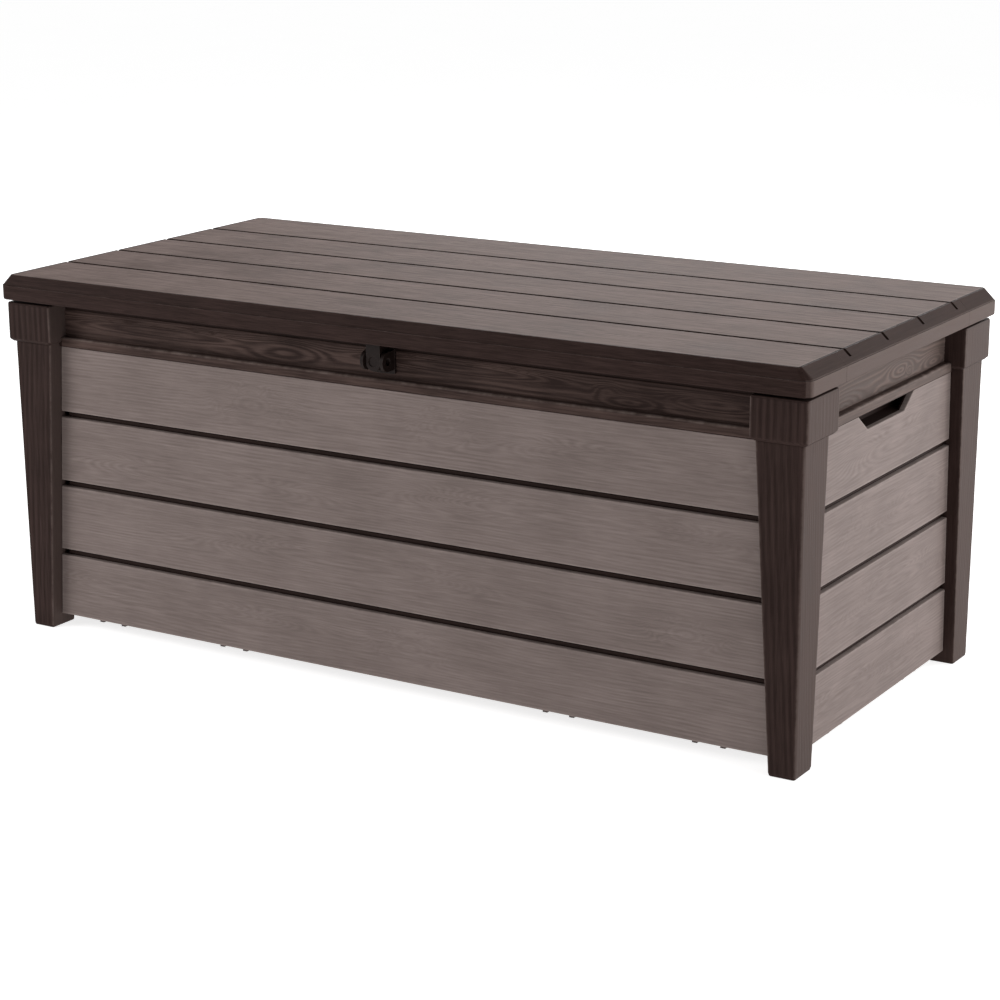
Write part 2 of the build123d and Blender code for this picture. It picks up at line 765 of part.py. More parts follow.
def make_lid_bracket(x_sign):
    """Angle plate under the lid with the upper pivot stud."""
    y, z = strut_upper
    inner_x = lid_bracket_x - lid_bracket_reach
    stud_tip = strut_x - eye_half - stud_head_gap - stud_head
    with BuildPart() as bracket:
        for low_x, low_z in ((lid_bracket_x - bracket_thick, liner_bottom - lid_bracket_drop),
                             (inner_x, liner_bottom - bracket_thick)):
            ends = sorted((x_sign * low_x, x_sign * lid_bracket_x))
            block((ends[0], y - lid_bracket_half, low_z),
                  (ends[1], y + lid_bracket_half, liner_bottom))
        fillet(bracket.edges().filter_by(Axis.X).group_by(Axis.Z)[0], stud_head_r)
        for radius, reach in ((stud_r, lid_bracket_x - stud_tip), (stud_head_r, stud_head)):
            with BuildSketch(Plane.YZ.offset(x_sign * stud_tip)):
                with Locations((y, z)):
                    Circle(radius)
            extrude(amount=x_sign * reach)
        with BuildSketch(Plane.XY.offset(liner_bottom + 1)):
            for offset in (-lid_bracket_screw[1], lid_bracket_screw[1]):
                with Locations((x_sign * (lid_bracket_x - lid_bracket_screw[0]), y + offset)):
                    Circle(screw_hole_r)
        extrude(amount=-bracket_thick - 2, mode=Mode.SUBTRACT)
    return bracket


def make_wall_bracket(side):
    """Plate on the end wall's pad with the boss that the lower stud bears on."""
    plane = side_planes[side]
    across = end_signs[side] * strut_lower[0]
    pad_face = face_distance(side) - wall_thick
    with BuildPart(plane) as bracket:
        block((across - wall_bracket_half[0], strut_lower[1] - wall_bracket_half[1],
               pad_face - bracket_thick),
              (across + wall_bracket_half[0], strut_lower[1] + wall_bracket_half[1], pad_face))
        fillet(bracket.edges().filter_by(Axis.X), wall_bracket_half[0] / 2)
        with BuildSketch(plane.offset(pad_face - bracket_thick)):
            with Locations((across, strut_lower[1])):
                Circle(wall_boss_r)
        extrude(amount=-bracket_thick)
        with BuildSketch(plane.offset(pad_face - bracket_thick - 1)):
            for offset in (-wall_bracket_screw, wall_bracket_screw):
                with Locations((across, strut_lower[1] + offset)):
                    Circle(screw_hole_r)
        extrude(amount=bracket_thick + 1, mode=Mode.SUBTRACT)
    return bracket


for side, x_sign in end_signs.items():
    save(make_cylinder(x_sign), f"{side}_strut_cylinder")
    save(make_rod(x_sign), f"{side}_strut_rod")
    save(make_lid_bracket(x_sign), f"{side}_strut_lid_bracket")
    save(make_wall_bracket(side), f"{side}_strut_wall_bracket")


# Screws: each seat is a plane on the bearing surface whose +Z is the way the screw is driven


def make_screws(seats):
    """A group of identical pan-head screws, one at each seat."""
    with BuildPart() as screws:
        for seat in seats:
            with BuildSketch(seat):
                Circle(screw_head_r)
            extrude(amount=-screw_head, taper=12)
            with BuildSketch(seat):
                Circle(screw_r)
            extrude(amount=screw_length)
    return screws


leg_seats = []
for y_sign in (-1, 1):
    for x_sign in (-1, 1):
        for z in boss_heights:
            x = x_sign * (leg_edge("front", z) + boss_inset)
            leg_seats.append(Plane(origin=(x, y_sign * (wall_y - skin), z), z_dir=(0, y_sign, 0)))
save(make_screws(leg_seats), "leg_screws")

bracket_seats = []
for side, z in bracket_screw_spots():
    x = end_signs[side] * (wall_x - wall_thick - bracket_thick)
    bracket_seats.append(Plane(origin=(x, strut_lower[0], z), z_dir=(end_signs[side], 0, 0)))
for z in lock_screw_heights:
    y = -(wall_y + frieze_proud + lock_base_thick)
    bracket_seats.append(Plane(origin=(0, y, z), z_dir=(0, 1, 0)))
save(make_screws(bracket_seats), "bracket_screws")

lid_seats = []
for x_sign in (-1, 1):
    for offset in (-lid_bracket_screw[1], lid_bracket_screw[1]):
        x = x_sign * (lid_bracket_x - lid_bracket_screw[0])
        lid_seats.append(Plane(origin=(x, strut_upper[0] + offset, liner_bottom - bracket_thick),
                               z_dir=(0, 0, 1)))
save(make_screws(lid_seats), "lid_screws")
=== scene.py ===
import json
import math

import bpy
import numpy as np
from mathutils import Matrix, Vector


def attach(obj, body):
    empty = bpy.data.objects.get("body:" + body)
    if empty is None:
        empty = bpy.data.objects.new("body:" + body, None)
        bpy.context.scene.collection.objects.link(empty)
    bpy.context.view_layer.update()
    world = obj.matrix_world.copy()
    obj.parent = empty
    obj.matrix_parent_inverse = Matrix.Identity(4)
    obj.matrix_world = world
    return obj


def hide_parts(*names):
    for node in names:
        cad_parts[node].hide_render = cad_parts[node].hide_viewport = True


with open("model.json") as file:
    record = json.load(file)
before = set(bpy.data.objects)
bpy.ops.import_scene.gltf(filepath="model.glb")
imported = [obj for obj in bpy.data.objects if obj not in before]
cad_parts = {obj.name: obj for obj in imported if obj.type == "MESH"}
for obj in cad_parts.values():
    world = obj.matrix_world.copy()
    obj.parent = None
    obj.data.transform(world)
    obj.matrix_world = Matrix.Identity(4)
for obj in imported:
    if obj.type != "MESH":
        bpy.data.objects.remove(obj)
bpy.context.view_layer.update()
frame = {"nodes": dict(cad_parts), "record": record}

# Deck storage box: the CAD frame gives every place and size, and this script adds moulded
# wood-grain skins, plastic and steel finishes, a pale floor, studio light and the camera.
# Lengths in this file are in millimetres unless a name says otherwise.

MM = 0.001

# Each face of the box: right-hand direction, up and outward, seen from outside
SIDES = {
    "front": ((1, 0, 0), (0, 0, 1), (0, -1, 0)),
    "back": ((-1, 0, 0), (0, 0, 1), (0, 1, 0)),
    "left": ((0, -1, 0), (0, 0, 1), (-1, 0, 0)),
    "right": ((0, 1, 0), (0, 0, 1), (1, 0, 0)),
    "top": ((1, 0, 0), (0, 1, 0), (0, 0, 1)),
}
GRAIN_AXIS = {"front": "x", "back": "x", "left": "y", "right": "y", "top": "x"}


# ---------------------------------------------------------------- noise and wood relief


def smooth_noise(x, y, seed):
    """Value noise from 0 to 1, one lattice cell per unit of x and y."""
    table = np.random.RandomState(seed).rand(256, 256)
    x0, y0 = np.floor(x).astype(int), np.floor(y).astype(int)
    fx, fy = x - x0, y - y0
    fx, fy = fx * fx * (3 - 2 * fx), fy * fy * (3 - 2 * fy)
    xa, xb, ya, yb = x0 % 256, (x0 + 1) % 256, y0 % 256, (y0 + 1) % 256
    low = table[xa, ya] * (1 - fx) + table[xb, ya] * fx
    high = table[xa, yb] * (1 - fx) + table[xb, yb] * fx
    return low * (1 - fy) + high * fy


def wood(s, t, seed, pitch, figures=(), fine=0.45):
    """Relief of sawn timber from 0, in a groove, to 1, on a ridge; s runs along the grain.

    Each figure is (s, t, half length, half width, rings): long ones are cathedral arches and
    short ones are knots.
    """
    field = t / pitch + 2.6 * smooth_noise(s / 300, t / 60, seed)
    field = field + 0.9 * smooth_noise(s / 85, t / 26, seed + 1)
    for s0, t0, half_length, half_width, rings in figures:
        reach = np.hypot((s - s0) / half_length, (t - t0) / half_width)
        share = np.exp(-0.5 * np.maximum(reach - 0.55, 0) ** 2 / 0.16)
        field = field * (1 - share) + rings * reach * share
    rings = 0.5 - 0.5 * np.cos(2 * math.pi * field)
    strength = 0.3 + 0.7 * smooth_noise(s / 140, t / 24, seed + 2)
    streaks = 0.6 * smooth_noise(s / 42, t / 1.3, seed + 3)
    streaks = streaks + 0.4 * smooth_noise(s / 15, t / 0.7, seed + 4)
    return np.clip((1 - fine) * rings * strength + fine * streaks, 0, 1)


def spaced(low, high, step, edge):
    """Places from low to high one step apart, and closer within edge of each end."""
    near = np.array([0, 0.12, 0.35, 0.65, 1.0]) * edge
    count = max(2, round((high - low - 2 * edge) / step))
    middle = np.linspace(low + edge, high - edge, count + 1)[1:-1]
    return np.concatenate([low + near, middle, high - near[::-1]])


def to_outline(s, t, corners):
    """Distance of each point to the nearest edge of a closed outline."""
    best = np.full(s.shape, 1e9)
    for (s0, t0), (s1, t1) in zip(corners, corners[1:] + corners[:1]):
        ds, dt = s1 - s0, t1 - t0
        along = np.clip(((s - s0) * ds + (t - t0) * dt) / (ds * ds + dt * dt), 0, 1)
        best = np.minimum(best, np.hypot(s - s0 - along * ds, t - t0 - along * dt))
    return best


def corner_most(grid):
    """The greatest value at the four corners of each quad of a grid."""
    return np.maximum.reduce([grid[:-1, :-1], grid[:-1, 1:], grid[1:, 1:], grid[1:, :-1]])


def rounded_drop(distance, radius):
    """How far a rounded edge falls back at a distance from the outline."""
    inside = np.clip(radius - distance, 0, radius)
    return radius - np.sqrt(radius * radius - inside * inside)


# ---------------------------------------------------------------- meshes


def place(side, s, t, out):
    """Points in metres from a side's right, up and outward coordinates."""
    right, up, normal = (np.array(v, float) for v in SIDES[side])
    s, t, out = np.broadcast_arrays(s, t, out)
    return (s[..., None] * right + t[..., None] * up + out[..., None] * normal) * MM


def slab(name, outer, back, keep, body, material, relief, wear_and_highlight, side_look=None,
         edge_quads=None):
    """A closed piece between two grids of points, without the quads that keep leaves out."""
    rows, columns = relief.shape
    index = np.arange(rows * columns).reshape(rows, columns)
    corners = [index[:-1, :-1], index[:-1, 1:], index[1:, 1:], index[1:, :-1]]
    quads = np.stack([c[keep] for c in corners], axis=1)
    starts, ends = quads.ravel(), np.roll(quads, -1, axis=1).ravel()
    total = rows * columns
    rim = ~np.isin(starts * total + ends, ends * total + starts)
    a, b = starts[rim], ends[rim]
    walls = np.stack([b, a, a + total, b + total], axis=1)
    faces = np.concatenate([quads, quads[:, ::-1] + total, walls])
    used = np.unique(faces)
    renumber = np.zeros(2 * total, int)
    renumber[used] = np.arange(len(used))
    points = np.concatenate([outer.reshape(-1, 3), back.reshape(-1, 3)])[used]
    mesh = bpy.data.meshes.new(name)
    mesh.vertices.add(len(points))
    mesh.vertices.foreach_set("co", points.astype(np.float32).ravel())
    mesh.loops.add(faces.size)
    mesh.loops.foreach_set("vertex_index", renumber[faces].astype(np.int32).ravel())
    mesh.polygons.add(len(faces))
    mesh.polygons.foreach_set("loop_start", np.arange(0, faces.size, 4, dtype=np.int32))
    mesh.update(calc_edges=True)
    for label, values in (("relief", relief), ("wear_and_highlight", wear_and_highlight)):
        both = np.concatenate([values.ravel(), values.ravel()])[used]
        attribute = mesh.attributes.new(label, "FLOAT", "POINT")
        attribute.data.foreach_set("value", both.astype(np.float32))
    mesh.validate()
    mesh.shade_smooth()
    mesh.set_sharp_from_angle(angle=math.radians(50))
    mesh.materials.append(material)
    if side_look:
        mesh.materials.append(side_look)
        on_side = np.zeros(len(faces), np.int32)
        on_side[2 * len(quads):] = 1
        on_side[:len(quads)] = edge_quads[keep]
        mesh.polygons.foreach_set("material_index", on_side)
    piece = bpy.data.objects.new(name, mesh)
    bpy.context.scene.collection.objects.link(piece)
    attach(piece, body)
    return piece


def node_points(node):
    """A CAD node's vertices in millimetres."""
    return np.array([v.co for v in frame["nodes"][node].data.vertices], float) / MM


NOTCH_LOW, NOTCH_TOP = 458.5, 486.0
NOTCH_HALF_LOW, NOTCH_HALF_TOP = 67.0, 106.0
PLANK_ROUND = 1.8
DARK_EDGE = 1.5


def make_plank(node, side, seed, depth, pitch, figures, notched, material):
    """A cladding plank or lid board with grain on its face, in place of its CAD node."""
    right, up, normal = (np.array(v, float) for v in SIDES[side])
    points = node_points(node)
    s, t, out = points @ right, points @ up, points @ normal
    low, high = t.min(), t.max()
    centre = (s.max() + s.min()) / 2
    low_half = np.abs(s[t < low + 0.01] - centre).max()
    high_half = np.abs(s[t > high - 0.01] - centre).max()
    face, foot = out.max(), out.min()
    rows = spaced(low, high, 1.35, 2.2)
    if notched:
        rows = np.unique(np.concatenate([rows, NOTCH_LOW + np.array([-2, -1, -0.4, 0, 0.4, 1])]))
    half = low_half + (high_half - low_half) * (rows - low) / (high - low)
    if notched:
        rise = np.clip((rows - NOTCH_LOW) / (NOTCH_TOP - NOTCH_LOW), 0, 1)
        edge = NOTCH_HALF_LOW + (NOTCH_HALF_TOP - NOTCH_HALF_LOW) * rise
        side_share = spaced(0, 150, 3.0, 2.2) / 150
        middle_share = spaced(0, 134, 3.0, 2.2)[1:-1] / 134
        left_part = -half[:, None] + (half - edge)[:, None] * side_share
        middle_part = edge[:, None] * (2 * middle_share - 1)
        right_part = edge[:, None] + (half - edge)[:, None] * side_share
        across = np.concatenate([left_part, middle_part, right_part], axis=1)
        first, last = len(side_share) - 1, across.shape[1] - len(side_share)
        keep = np.ones((len(rows) - 1, across.shape[1] - 1), bool)
        keep[np.ix_(rows[:-1] >= NOTCH_LOW - 0.01, np.arange(first, last))] = False
        high_edge = edge[-1]
        corners = [(-low_half, low), (low_half, low), (high_half, high), (high_edge, high),
                   (NOTCH_HALF_LOW, NOTCH_LOW), (-NOTCH_HALF_LOW, NOTCH_LOW),
                   (-high_edge, high), (-high_half, high)]
    else:
        share = spaced(-low_half, low_half, 4.0, 2.2) / low_half
        across = half[:, None] * share
        keep = np.ones((len(rows) - 1, across.shape[1] - 1), bool)
        corners = [(-low_half, low), (low_half, low), (high_half, high), (-high_half, high)]
    up_grid = np.broadcast_to(rows[:, None], across.shape)
    distance = to_outline(across, up_grid, corners)
    relief = wood(across, up_grid - low, seed, pitch, figures)
    fade = np.clip(distance / 2.5, 0, 1)
    out_grid = face - rounded_drop(distance, PLANK_ROUND) - depth * (1 - relief) * fade
    # Lighter near the outline: wear, and a painted highlight on the rounded edges.
    wear_and_highlight = np.exp(-((distance / 2.6) ** 2))
    outer = place(side, across + centre, up_grid, out_grid)
    back = place(side, across + centre, up_grid, np.full(across.shape, foot))
    body = "lid" if side == "top" else "box"
    # Lid boards take the darker wall look, which carries painted shade, on their sides and within
    # DARK_EDGE of their outline.
    piece = slab(f"{node}_grain", outer, back, keep, body, material, relief, wear_and_highlight,
                 wall_look_with_shade if side == "top" else None, corner_most(distance) < DARK_EDGE)
    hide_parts(node)
    return piece


# Bead and frieze: (height, distance in front of the wall's face) from the bead up
FRIEZE_OUT = 1.75
TRIM_PROFILE = [
    (486.6, 12.6), (487.2, 13.55), (488.4, 13.7), (490.0, 13.75), (492.0, 13.75), (494.0, 13.75),
    (496.0, 13.75), (497.6, 13.75), (499.2, 13.3), (500.5, 12.3), (501.3, 10.8), (501.5, 9.0),
    (501.5, 5.5), (501.6, 2.6), (502.4, FRIEZE_OUT),
]
FRIEZE_LOW, FRIEZE_TOP, FRIEZE_STEP = 503.3, 545.5, 0.95
FRIEZE_RELIEF, BEAD_RELIEF = 1.25, 0.35


def make_trim(side, face, half, seed, figures, material):
    """The grained bead and frieze on the upper part of a wall."""
    frieze_rows = np.arange(FRIEZE_LOW, FRIEZE_TOP, FRIEZE_STEP)
    profile = np.array(TRIM_PROFILE + [(z, FRIEZE_OUT) for z in frieze_rows]
                       + [(FRIEZE_TOP + 0.4, 1.5), (FRIEZE_TOP + 0.9, 0.6),
                          (FRIEZE_TOP + 1.0, -0.5)])
    tangent = np.gradient(profile, axis=0)
    tangent /= np.linalg.norm(tangent, axis=1)[:, None]
    outward = np.stack([-tangent[:, 1], tangent[:, 0]], axis=1)
    travel = np.concatenate([[0], np.cumsum(np.linalg.norm(np.diff(profile, axis=0), axis=1))])
    columns = spaced(-half, half, 3.2, 2.0)
    across, along = np.meshgrid(columns, travel)
    height = np.broadcast_to(profile[:, :1], across.shape)
    on_frieze = np.clip((height - 503) / 2, 0, 1) * np.clip((FRIEZE_TOP - height) / 1.5, 0, 1)
    frieze = wood(across, height - 501, seed, 10.5, figures, fine=0.14)
    bead = wood(across, along, seed + 40, 5.0, (), fine=0.6)
    relief = bead * (1 - on_frieze) + frieze * on_frieze
    on_bead = np.clip((height - 487) / 1.5, 0, 1) * (profile[:, 1:] > 9)
    depth = BEAD_RELIEF * on_bead + FRIEZE_RELIEF * on_frieze
    moved = profile[:, None, :] + outward[:, None, :] * (depth * relief)[..., None]
    outer = place(side, across, moved[..., 0], face + moved[..., 1])
    inner = profile - outward * 1.2
    back = place(side, across, np.broadcast_to(inner[:, :1], across.shape),
                 face + np.broadcast_to(inner[:, 1:], across.shape))
    keep = np.ones((len(profile) - 1, len(columns) - 1), bool)
    # Painted highlight: the bead's top edge is lightened in broken dashes through the
    # wear-and-highlight attribute.
    crest_highlight = np.exp(-(((profile[:, :1] - 500.2) / 1.6) ** 2)) * (profile[:, 1:] > 8)
    ragged = smooth_noise(across / 11, along * 0, seed + 9)
    wear_and_highlight = np.clip(crest_highlight * (0.4 + 1.8 * ragged), 0, 1)
    return slab(f"{side}_wall_trim_grain", outer, back, keep, "box", material,
                relief, wear_and_highlight)


CORNER_RADIUS, REED_PITCH = 4.5, 11.3


def make_leg_skin(name, x_sign, y_sign, levels, depth, reed, seed, material):
    """A grained skin round a leg's outer corner; levels are (height, inner and outer corner)."""
    radius = CORNER_RADIUS
    heights = np.array([v[0] for v in levels], float)
    rows = spaced(heights[0], heights[-1], 5.0, 2.0)
    inner = [np.interp(rows, heights, [v[1][k] for v in levels]) for k in (0, 1)]
    outer = [np.interp(rows, heights, [v[2][k] for v in levels]) for k in (0, 1)]
    turn = np.linspace(0, math.pi / 2, 7)
    run = spaced(0, 1, 0.016, 0.03)[:-1]
    x_rows, y_rows, nx_rows, ny_rows = [], [], [], []
    for ix, iy, ox, oy in zip(*inner, *outer):
        front_x = ix + 0.4 + (ox - radius - ix - 0.4) * run
        side_y = oy - radius - (oy - radius - iy - 0.4) * (1 - run[::-1])
        corner_x = ox - radius + radius * np.sin(turn)
        corner_y = oy - radius + radius * np.cos(turn)
        x_rows.append(np.concatenate([front_x, corner_x, np.full(len(run), ox)]))
        y_rows.append(np.concatenate([np.full(len(run), oy), corner_y, side_y]))
        nx_rows.append(np.concatenate([np.zeros(len(run)), np.sin(turn), np.ones(len(run))]))
        ny_rows.append(np.concatenate([np.ones(len(run)), np.cos(turn), np.zeros(len(run))]))
    x, y, nx, ny = (np.array(v) for v in (x_rows, y_rows, nx_rows, ny_rows))
    step = np.hypot(np.diff(x, axis=1), np.diff(y, axis=1))
    along = np.concatenate([np.zeros((len(rows), 1)), np.cumsum(step, axis=1)], axis=1)
    high = np.broadcast_to(rows[:, None], x.shape)
    from_end = np.minimum(along, along[:, -1:] - along)
    grain = wood(high, along, seed, 7.5, (), fine=0.5)
    reeds = 0.5 + 0.5 * np.cos(2 * math.pi * along / REED_PITCH)
    on_front = np.clip((ny - 0.6) / 0.4, 0, 1)
    reed = reed * (0.25 + 0.75 * on_front)
    relief = np.clip(grain * (1 - reed) + reed * reeds, 0, 1)
    ends = np.minimum(high - rows[0], rows[-1] - high)
    sink = 0.9 * np.clip(1 - from_end / 1.6, 0, 1) ** 2 + 0.9 * np.clip(1 - ends / 1.2, 0, 1) ** 2
    proud = 0.12 + depth * relief - sink
    signs = np.array([x_sign, y_sign, 1.0])
    outer_points = np.stack([x + nx * proud, y + ny * proud, high], axis=-1) * signs * MM
    back_points = np.stack([x - nx * 1.6, y - ny * 1.6, high], axis=-1) * signs * MM
    keep = np.ones((len(rows) - 1, x.shape[1] - 1), bool)
    # Lighter along the rounded outer corner and the skin's side ends: wear, and a painted
    # highlight on the fillet.
    corner = np.exp(-((np.hypot(nx - 0.7071, ny - 0.7071) / 0.35) ** 2))
    wear_and_highlight = np.clip(0.7 * corner + np.exp(-((from_end / 2.0) ** 2)), 0, 1)
    if x_sign * y_sign > 0:
        outer_points, back_points = outer_points[:, ::-1], back_points[:, ::-1]
        relief, wear_and_highlight = relief[:, ::-1], wear_and_highlight[:, ::-1]
    return slab(name, outer_points, back_points, keep, "box", material,
                relief, wear_and_highlight)


# ---------------------------------------------------------------- materials


class Nodes:
    """Short calls for building one material's node tree."""

    def __init__(self, name):
        self.material = bpy.data.materials.new(name)
        self.material.use_nodes = True
        self.tree = self.material.node_tree
        self.shader = self.tree.nodes["Principled BSDF"]

    def add(self, kind, inputs=(), **settings):
        node = self.tree.nodes.new(kind)
        for key, value in settings.items():
            setattr(node, key, value)
        for key, value in dict(inputs).items():
            if isinstance(value, bpy.types.NodeSocket):
                self.tree.links.new(value, node.inputs[key])
            else:
                node.inputs[key].default_value = value
        return node

    def math(self, operation, a, b=0.0):
        return self.add("ShaderNodeMath", {0: a, 1: b}, operation=operation).outputs[0]

    def ramp(self, value, low, high, to_low=0.0, to_high=1.0):
        node = self.add("ShaderNodeMapRange", {"Value": value, "From Min": low, "From Max": high,
                                               "To Min": to_low, "To Max": to_high})
        return node.outputs["Result"]

    def mix(self, share, a, b):
        node = self.add("ShaderNodeMix", {0: share, 6: a, 7: b}, data_type="RGBA")
        return node.outputs[2]

    def link(self, socket, name):
        self.tree.links.new(socket, self.shader.inputs[name])


def grain_vector(n, axis):
    """Object coordinates squeezed along the grain; "rim" follows each face of the lid's edge."""
    place_at = n.add("ShaderNodeTexCoord")
    squeeze = {"x": (0.035, 1, 1), "y": (1, 0.035, 1), "z": (1, 1, 0.035), "even": (1, 1, 1)}
    if axis in squeeze:
        return n.add("ShaderNodeVectorMath", {0: place_at.outputs["Object"], 1: squeeze[axis]},
                     operation="MULTIPLY").outputs[0]
    along = [n.add("ShaderNodeVectorMath", {0: place_at.outputs["Object"], 1: squeeze[a]},
                   operation="MULTIPLY").outputs[0] for a in ("x", "y")]
    normal = n.add("ShaderNodeSeparateXYZ", {0: place_at.outputs["Normal"]})
    facing = n.math("GREATER_THAN", n.math("ABSOLUTE", normal.outputs[0]), 0.62)
    return n.add("ShaderNodeMix", {0: facing, 4: along[0], 5: along[1]},
                 data_type="VECTOR").outputs[1]


def noise(n, vector, per_metre, detail=3.0, roughness=0.55):
    """Noise from 0 to 1 with a given number of features per metre."""
    return n.add("ShaderNodeTexNoise", {"Vector": vector, "Scale": per_metre, "Detail": detail,
                                        "Roughness": roughness}).outputs["Fac"]


def rgb(r, g, b):
    """A linear colour from 0 to 255 display values."""
    return tuple(((v / 255 + 0.055) / 1.055) ** 2.4 if v > 10 else v / 255 / 12.92
                 for v in (r, g, b)) + (1.0,)


EDGE_RADIUS = 1.6
# Share of the worn tone at edges: wear together with a painted highlight on rounded edges.
EDGE_WEAR_AND_HIGHLIGHT = 0.55


def moulded(name, axis, dark, light, worn, roughness, specular, relief=0.0, bump=0.12,
            streak=0.5, sheet=True, painted_end_sheen=0.0):
    """Moulded plastic: two tones by streaks, blotches and relief, lighter edges as wear and
    painted highlight, and fine bump.

    Sheets carry relief and wear-and-highlight attributes; other meshes find their edges by a
    bevel.
    The end sheen argument lightens the faces that look along X as a painted sheen.
    """
    n = Nodes(name)
    vector = grain_vector(n, axis)
    plain = n.add("ShaderNodeTexCoord").outputs["Object"]
    fine = noise(n, vector, 900.0, 4.0, 0.6)
    coarse = noise(n, vector, 260.0, 3.0, 0.55)
    blotch = noise(n, plain, 9.0, 3.0, 0.55)
    speck = noise(n, plain, 1500.0, 2.0, 0.5)
    tone = n.math("MULTIPLY", n.ramp(fine, 0.3, 0.7, -0.5, 0.5), streak)
    tone = n.math("ADD", tone, n.ramp(coarse, 0.3, 0.7, -0.25, 0.25))
    tone = n.math("ADD", tone, n.ramp(blotch, 0.3, 0.7, -0.22, 0.22))
    tone = n.math("ADD", tone, n.ramp(speck, 0.25, 0.75, -0.12, 0.12))
    if sheet:
        height = n.add("ShaderNodeAttribute", attribute_name="relief").outputs["Fac"]
        tone = n.math("ADD", tone, n.ramp(height, 0.0, 1.0, -relief, relief))
    tone = n.math("ADD", tone, 0.5)
    clamped = n.add("ShaderNodeClamp", {"Value": tone}).outputs[0]
    colour = n.mix(clamped, dark, light)
    # Edges are lightened towards the worn tone in patches: partly wear, partly a painted highlight
    # on rounded edges.
    patches = noise(n, plain, 55.0, 4.0, 0.65)
    if sheet:
        edge = n.add("ShaderNodeAttribute", attribute_name="wear_and_highlight").outputs["Fac"]
        least_wear_and_highlight = 0.25
    else:
        soft = n.add("ShaderNodeBevel", {"Radius": EDGE_RADIUS * MM}, samples=4).outputs[0]
        sharp = n.add("ShaderNodeNewGeometry").outputs["Normal"]
        dot = n.add("ShaderNodeVectorMath", {0: soft, 1: sharp}, operation="DOT_PRODUCT")
        edge = n.ramp(dot.outputs["Value"], 0.97, 0.80, 0.0, 1.0)
        least_wear_and_highlight = 0.15
    edge = n.math("MULTIPLY", edge, n.ramp(patches, 0.35, 0.65, least_wear_and_highlight, 1.0))
    colour = n.mix(n.math("MULTIPLY", edge, EDGE_WEAR_AND_HIGHLIGHT), colour, worn)
    # Painted sheen: faces that look along X are lightened towards the worn tone.
    if painted_end_sheen:
        facing = n.add("ShaderNodeSeparateXYZ", {0: n.add("ShaderNodeTexCoord").outputs["Normal"]})
        ends = n.ramp(n.math("ABSOLUTE", facing.outputs[0]), 0.6, 0.85, 0.0, painted_end_sheen)
        colour = n.mix(ends, colour, worn)
    n.link(colour, "Base Color")
    rough = n.math("ADD", n.ramp(fine, 0.3, 0.7, roughness - 0.06, roughness + 0.06),
                   n.ramp(blotch, 0.3, 0.7, -0.04, 0.04))
    n.link(rough, "Roughness")
    surface = n.math("ADD", n.math("MULTIPLY", fine, 0.6), n.math("MULTIPLY", coarse, 0.8))
    surface = n.math("ADD", surface, n.math("MULTIPLY", speck, 0.25))
    bumped = n.add("ShaderNodeBump", {"Strength": 1.0, "Distance": bump * MM, "Height": surface})
    n.link(bumped.outputs[0], "Normal")
    n.shader.inputs["Specular IOR Level"].default_value = specular
    return n.material


def metal(name, colour, worn, roughness, brushed):
    """Steel with a fine drawn finish and faint handling marks."""
    n = Nodes(name)
    vector = grain_vector(n, brushed)
    plain = n.add("ShaderNodeTexCoord").outputs["Object"]
    fine = noise(n, vector, 2600.0, 3.0, 0.6)
    marks = noise(n, plain, 90.0, 4.0, 0.6)
    n.link(n.mix(n.ramp(marks, 0.35, 0.7), colour, worn), "Base Color")
    n.link(n.math("ADD", n.ramp(fine, 0.3, 0.7, roughness - 0.07, roughness + 0.07),
                  n.ramp(marks, 0.3, 0.7, -0.04, 0.08)), "Roughness")
    n.shader.inputs["Metallic"].default_value = 1.0
    bumped = n.add("ShaderNodeBump", {"Strength": 0.5, "Distance": 0.00004, "Height": fine})
    n.link(bumped.outputs[0], "Normal")
    return n.material


# Tone sets are dark, light and a pale tone. Edges take the pale tone as wear and painted
# highlight, and faces that look along X take it as painted sheen.
TAUPE = (rgb(108, 96, 92), rgb(130, 117, 113), rgb(152, 139, 134))
# The lid boards' tones are lighter than the planks' taupe: painted sheen of the lid's top.
BOARD_WITH_SHEEN = (rgb(112, 96, 91), rgb(160, 142, 136), rgb(180, 163, 156))
BROWN = (rgb(38, 26, 23), rgb(57, 43, 40), rgb(112, 98, 93))
TRIM_BROWN = (rgb(44, 32, 29), rgb(82, 66, 61), rgb(130, 115, 109))
# Gap brown, for the frame plastic, the wall backing seen between planks and the lid boards' edges:
# the same brown plastic made darker as painted shade of the gaps and recesses.
GAP_BROWN_AND_SHADE = (rgb(34, 24, 21), rgb(47, 34, 31), rgb(72, 60, 56))
plank_look = {
    axis: moulded(f"plank_{axis}", axis, *TAUPE, roughness=0.6, specular=0.1, relief=0.45,
                  bump=0.14)
    for axis in ("x", "y")
}
# The end sheen argument of the brown, trim, rim and leg looks paints a sheen on faces that look
# along X.
brown_look = {
    axis: moulded(f"brown_{axis}", axis, *BROWN, roughness=0.6, specular=0.06, relief=0.55,
                  bump=0.16, painted_end_sheen=0.3)
    for axis in ("x", "y", "z")
}
trim_look = {
    axis: moulded(f"trim_{axis}", axis, *TRIM_BROWN, roughness=0.6, specular=0.06, relief=relief,
                  bump=0.12, streak=0.35, painted_end_sheen=0.3)
    for axis, relief in (("x", 0.5), ("y", 1.0))
}
board_look = moulded("board_x", "x", *BOARD_WITH_SHEEN, roughness=0.7, specular=0.05, relief=0.3, bump=0.16,
                     streak=0.8)
rim_look = moulded("brown_rim", "rim", *BROWN, roughness=0.6, specular=0.05, bump=0.3, streak=1.0,
                   sheet=False, painted_end_sheen=0.5)
wall_look_with_shade = moulded("brown_wall_with_shade", "rim", *GAP_BROWN_AND_SHADE, roughness=0.6, specular=0.05, bump=0.12,
                    sheet=False)
